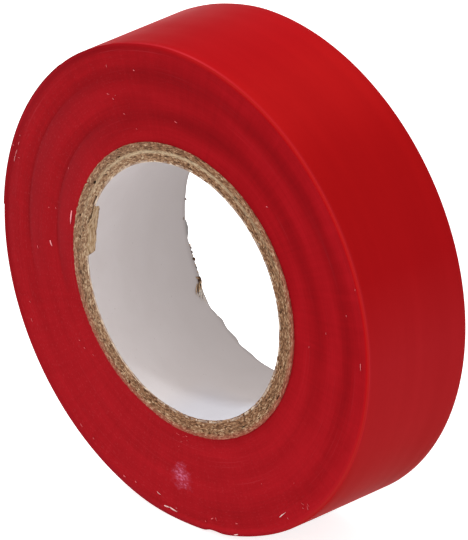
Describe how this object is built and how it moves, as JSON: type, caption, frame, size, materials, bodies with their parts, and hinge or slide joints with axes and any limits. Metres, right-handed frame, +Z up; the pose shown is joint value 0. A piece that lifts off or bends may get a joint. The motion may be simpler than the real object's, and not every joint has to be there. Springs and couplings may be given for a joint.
{
  "type": "electrical tape roll",
  "caption": "Roll of coloured PVC insulating tape, wound on a lined paper core, with a free end that peels off the roll.",
  "frame": {"origin": "centre of the bore, half way between the roll's two sides", "axes": "+Y along the bore, away from the side that the picture shows; +Z up as the roll stands on its tread; +X towards the right of that side"},
  "size_m": [0.0729, 0.0196, 0.0728],
  "materials": {
    "liner_paper": "matte",
    "core_board": "matte",
    "tape_pvc": "satin"
  },
  "bodies": {
    "roll": {"core_liner": "liner_paper", "core_ply_1": "core_board", "core_ply_2": "core_board", "core_ply_3": "core_board", "core_ply_4": "core_board", "tape_windings": "tape_pvc", "tape_outer_turn": "tape_pvc"},
    "tail_1": {"tape_tail_1": "tape_pvc"},
    "tail_2": {"tape_tail_2": "tape_pvc"},
    "tail_3": {"tape_tail_3": "tape_pvc"},
    "tail_4": {"tape_tail_4": "tape_pvc"},
    "tail_5": {"tape_tail_5": "tape_pvc"},
    "tail_6": {"tape_tail_6": "tape_pvc"}
  },
  "joints": [
    {"name": "tape_peel", "type": "hinge", "parent": "roll", "child": "tail_1", "pos_m": [-0.02489, 0, 0.02668], "axis": [0, 1, 0], "range_deg": [0, 55]},
    {"name": "tail_bend_2", "type": "hinge", "parent": "tail_1", "child": "tail_2", "pos_m": [-0.02817, 0, 0.0232], "axis": [0, 1, 0], "range_deg": [0, 11]},
    {"name": "tail_bend_3", "type": "hinge", "parent": "tail_2", "child": "tail_3", "pos_m": [-0.03096, 0, 0.01933], "axis": [0, 1, 0], "range_deg": [0, 11]},
    {"name": "tail_bend_4", "type": "hinge", "parent": "tail_3", "child": "tail_4", "pos_m": [-0.03322, 0, 0.01512], "axis": [0, 1, 0], "range_deg": [0, 11]},
    {"name": "tail_bend_5", "type": "hinge", "parent": "tail_4", "child": "tail_5", "pos_m": [-0.03491, 0, 0.01066], "axis": [0, 1, 0], "range_deg": [0, 11]},
    {"name": "tail_bend_6", "type": "hinge", "parent": "tail_5", "child": "tail_6", "pos_m": [-0.036, 0, 0.00601], "axis": [0, 1, 0], "range_deg": [0, 11]}
  ],
  "couplings": [
    {"joint": "tail_bend_2", "follows": "tape_peel", "ratio": 0.2},
    {"joint": "tail_bend_3", "follows": "tape_peel", "ratio": 0.2},
    {"joint": "tail_bend_4", "follows": "tape_peel", "ratio": 0.2},
    {"joint": "tail_bend_5", "follows": "tape_peel", "ratio": 0.2},
    {"joint": "tail_bend_6", "follows": "tape_peel", "ratio": 0.2}
  ]
}
